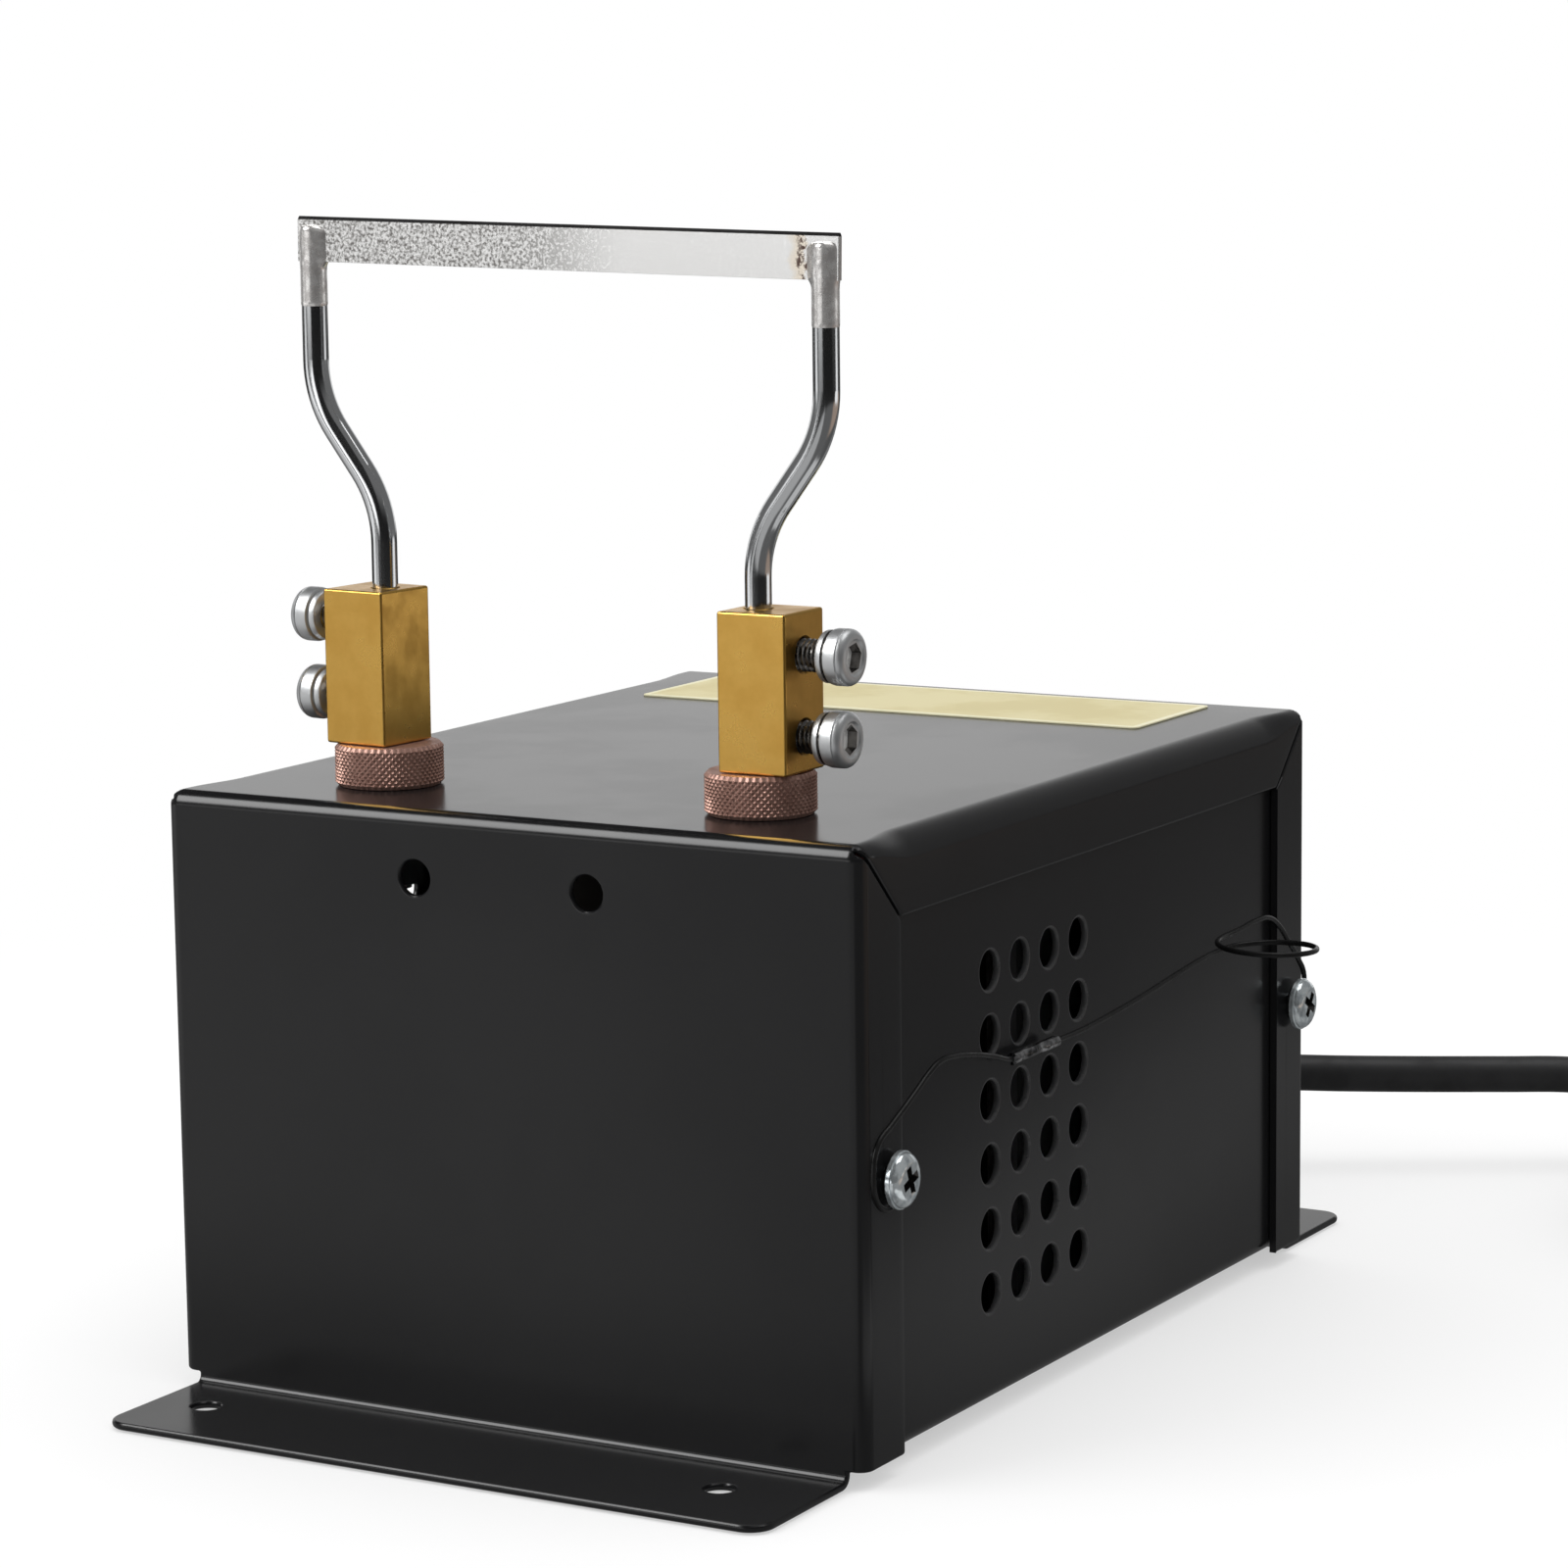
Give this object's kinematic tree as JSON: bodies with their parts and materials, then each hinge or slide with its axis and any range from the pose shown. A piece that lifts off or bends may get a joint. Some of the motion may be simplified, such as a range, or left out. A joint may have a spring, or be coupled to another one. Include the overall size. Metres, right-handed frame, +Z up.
{
  "type": "electric webbing cutter",
  "caption": "Bench-top hot cutter for webbing: black folded-steel transformer box with brass terminal blocks that clamp a cranked, lift-out blade frame, on a mains lead.",
  "frame": {"origin": "on the bench, under the middle of the case", "axes": "+Z up, -Y the front panel below the blade, +X the right side with the thin wire"},
  "size_m": [0.2643, 0.2969, 0.1825],
  "materials": {
    "case_black": "semi-gloss black enamel over folded sheet steel",
    "label_yellow": "pale yellow film, bare",
    "zinc": "zinc-plated fasteners",
    "terminal_brass": "sawn and milled brass, lightly tarnished",
    "collar_copper": "knurled red brass, brown with age",
    "screw_steel": "bright socket-head screws",
    "leg_chrome": "polished rod, silver braze at the top",
    "blade_silver": "brushed resistance alloy strip",
    "cord_black": "black PVC sheath",
    "wire_black": "thin black coated wire",
    "switch_black": "moulded black plastic",
    "insulator_brown": "phenolic insulator",
    "core_steel": "stacked silicon steel laminations",
    "bobbin_plastic": "moulded nylon",
    "copper": "copper",
    "tape_yellow": "wound copper wire under yellow tape",
    "bracket_zinc": "zinc-plated strap",
    "lead_red": "silicone-covered lead",
    "wire_brown": "insulated wire",
    "wire_blue": "insulated wire",
    "wire_green": "insulated wire",
    "contact_brass": "brass contact"
  },
  "bodies": {
    "case": {"upper_shell": "case_black", "lower_tray": "case_black", "label_plate": "label_yellow", "case_screws": "zinc", "case_nuts": "zinc", "tie_wire": "wire_black", "tie_sleeve": "zinc", "terminal_block_left": "terminal_brass", "terminal_block_right": "terminal_brass", "terminal_stud_left": "terminal_brass", "terminal_stud_right": "terminal_brass", "insulating_bushes": "insulator_brown", "insulating_washers": "insulator_brown", "stud_washers": "zinc", "stud_nuts": "terminal_brass", "lead_lugs": "copper", "core_e_stack": "core_steel", "core_i_stack": "core_steel", "coil_bobbin": "bobbin_plastic", "primary_winding": "tape_yellow", "secondary_winding": "copper", "transformer_bracket": "bracket_zinc", "bracket_screws": "zinc", "bracket_nuts": "zinc", "secondary_lead_left": "lead_red", "secondary_lead_right": "lead_red", "switch_housing": "switch_black", "switch_tabs": "contact_brass", "cord_grip": "cord_black", "cord_inner_end": "cord_black", "line_wire": "wire_brown", "switch_wire": "wire_brown", "neutral_wire": "wire_blue", "earth_wire": "wire_green", "earth_lug": "zinc", "earth_screw": "zinc", "earth_nut": "zinc", "mains_cord": "cord_black", "cord_coil": "cord_black", "cord_tie": "switch_black", "plug_body": "cord_black", "plug_pins": "contact_brass"},
    "blade_unit": {"blade": "blade_silver", "blade_leg_left": "leg_chrome", "blade_leg_right": "leg_chrome"},
    "rocker": {"switch_rocker": "switch_black"},
    "collar_left": {"collar_nut_left": "collar_copper"},
    "collar_right": {"collar_nut_right": "collar_copper"},
    "clamp_left_upper": {"clamp_screw_left_upper": "screw_steel"},
    "clamp_left_lower": {"clamp_screw_left_lower": "screw_steel"},
    "clamp_right_upper": {"clamp_screw_right_upper": "screw_steel"},
    "clamp_right_lower": {"clamp_screw_right_lower": "screw_steel"}
  },
  "joints": [
    {"name": "blade_lift", "type": "slide", "parent": "case", "child": "blade_unit", "axis": [0, 0, 1], "range_m": [0, 0.02]},
    {"name": "clamp_left_upper_turn", "type": "hinge", "parent": "case", "child": "clamp_left_upper", "pos_m": [-0.0333, -0.058, 0.1207], "axis": [-0.9956, 0.0941, 0], "range_deg": [0, 720]},
    {"name": "clamp_left_lower_turn", "type": "hinge", "parent": "case", "child": "clamp_left_lower", "pos_m": [-0.0333, -0.058, 0.1085], "axis": [-0.9956, 0.0941, 0], "range_deg": [0, 720]},
    {"name": "clamp_right_upper_turn", "type": "hinge", "parent": "case", "child": "clamp_right_upper", "pos_m": [0.0333, -0.058, 0.1191], "axis": [1, 0, 0], "range_deg": [0, 720]},
    {"name": "clamp_right_lower_turn", "type": "hinge", "parent": "case", "child": "clamp_right_lower", "pos_m": [0.0333, -0.058, 0.1069], "axis": [1, 0, 0], "range_deg": [0, 720]},
    {"name": "collar_left_turn", "type": "hinge", "parent": "case", "child": "collar_left", "pos_m": [-0.0333, -0.058, 0.0951], "axis": [0, 0, 1], "continuous": true},
    {"name": "collar_right_turn", "type": "hinge", "parent": "case", "child": "collar_right", "pos_m": [0.0333, -0.058, 0.0951], "axis": [0, 0, 1], "continuous": true},
    {"name": "power_rocker", "type": "hinge", "parent": "case", "child": "rocker", "pos_m": [-0.038, 0.0779, 0.052], "axis": [1, 0, 0], "range_deg": [0, 20]}
  ]
}
